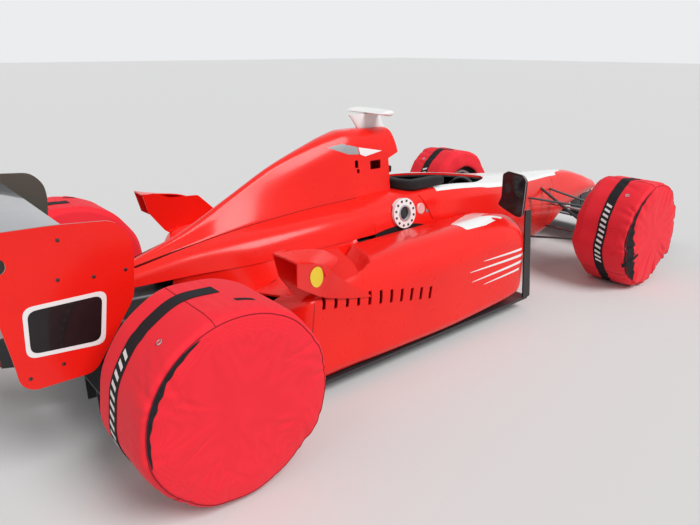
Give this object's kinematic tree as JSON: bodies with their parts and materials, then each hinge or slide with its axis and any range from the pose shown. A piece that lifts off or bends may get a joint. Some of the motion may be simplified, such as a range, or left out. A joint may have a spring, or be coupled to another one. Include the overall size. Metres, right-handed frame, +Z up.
{
  "type": "open wheel racing car",
  "caption": "Single seat open wheel racing car with wings, sidepods, an open cockpit and quilted warmers round its tyres.",
  "frame": {"origin": "on the ground under the middle of the car's bounding box", "axes": "+X forward, +Y to the driver's left, +Z up"},
  "size_m": [4.5, 1.9586, 1.115],
  "materials": {
    "red_paint": "gloss",
    "cream_paint": "gloss",
    "carbon": "satin",
    "grey_wing": "gloss",
    "white": "gloss",
    "black_pad": "matt",
    "steel": "satin",
    "alloy": "satin",
    "rubber": "matt",
    "quilt": "matt",
    "lamp_red": "gloss"
  },
  "bodies": {
    "chassis": {"monocoque": "red_paint", "nose_cone": "red_paint", "front_wing": "carbon", "engine_cover": "red_paint", "sidepod_right": "red_paint", "sidepod_left": "red_paint", "radiators": "alloy", "flip_ups": "red_paint", "floor": "carbon", "diffuser": "carbon", "engine": "alloy", "gearbox": "carbon", "rear_crash_structure": "carbon", "rain_light": "lamp_red", "rear_wing": "grey_wing", "rear_endplate_right": "red_paint", "rear_endplate_left": "red_paint", "front_suspension": "carbon", "rear_uprights": "alloy", "rear_suspension": "carbon", "headrest": "black_pad", "fuel_fillers": "white", "camera_pod": "white", "mirrors": "carbon", "bargeboards": "carbon", "seat": "carbon"},
    "steering_wheel": {"steering_wheel": "carbon"},
    "steering_rack": {"steering_rack": "steel"},
    "knuckle_right": {"knuckle_right": "alloy"},
    "knuckle_left": {"knuckle_left": "alloy"},
    "front_wheel_right": {"rim_front_right": "alloy", "tyre_front_right": "rubber", "warmer_front_right": "quilt"},
    "front_wheel_left": {"rim_front_left": "alloy", "tyre_front_left": "rubber", "warmer_front_left": "quilt"},
    "rear_wheel_right": {"rim_rear_right": "alloy", "tyre_rear_right": "rubber", "warmer_rear_right": "quilt", "driveshaft_right": "steel"},
    "rear_wheel_left": {"rim_rear_left": "alloy", "tyre_rear_left": "rubber", "warmer_rear_left": "quilt", "driveshaft_left": "steel"}
  },
  "joints": [
    {"name": "steer_right", "type": "hinge", "parent": "chassis", "child": "knuckle_right", "pos_m": [1.25, -0.66, 0.332], "axis": [0, 0, 1], "range_deg": [-15, 15]},
    {"name": "steer_left", "type": "hinge", "parent": "chassis", "child": "knuckle_left", "pos_m": [1.25, 0.66, 0.332], "axis": [0, 0, 1], "range_deg": [-15, 15]},
    {"name": "steering_wheel_turn", "type": "hinge", "parent": "chassis", "child": "steering_wheel", "pos_m": [0.512, 0, 0.524], "axis": [0.9703, 0, -0.2419], "range_deg": [-180, 180]},
    {"name": "rack_slide", "type": "slide", "parent": "chassis", "child": "steering_rack", "axis": [0, 1, 0], "range_m": [-0.0262, 0.0262]},
    {"name": "front_wheel_right_spin", "type": "hinge", "parent": "knuckle_right", "child": "front_wheel_right", "pos_m": [1.25, -0.745, 0.332], "axis": [0, 1, 0], "continuous": true},
    {"name": "rear_wheel_right_spin", "type": "hinge", "parent": "chassis", "child": "rear_wheel_right", "pos_m": [-1.65, -0.785, 0.344], "axis": [0, 1, 0], "continuous": true},
    {"name": "front_wheel_left_spin", "type": "hinge", "parent": "knuckle_left", "child": "front_wheel_left", "pos_m": [1.25, 0.745, 0.332], "axis": [0, 1, 0], "continuous": true},
    {"name": "rear_wheel_left_spin", "type": "hinge", "parent": "chassis", "child": "rear_wheel_left", "pos_m": [-1.65, 0.785, 0.344], "axis": [0, 1, 0], "continuous": true}
  ],
  "couplings": [
    {"joint": "steer_left", "follows": "steer_right", "ratio": 1},
    {"joint": "steering_wheel_turn", "follows": "steer_right", "ratio": -12},
    {"joint": "rack_slide", "follows": "steer_right", "m_per_rad": 0.1}
  ]
}
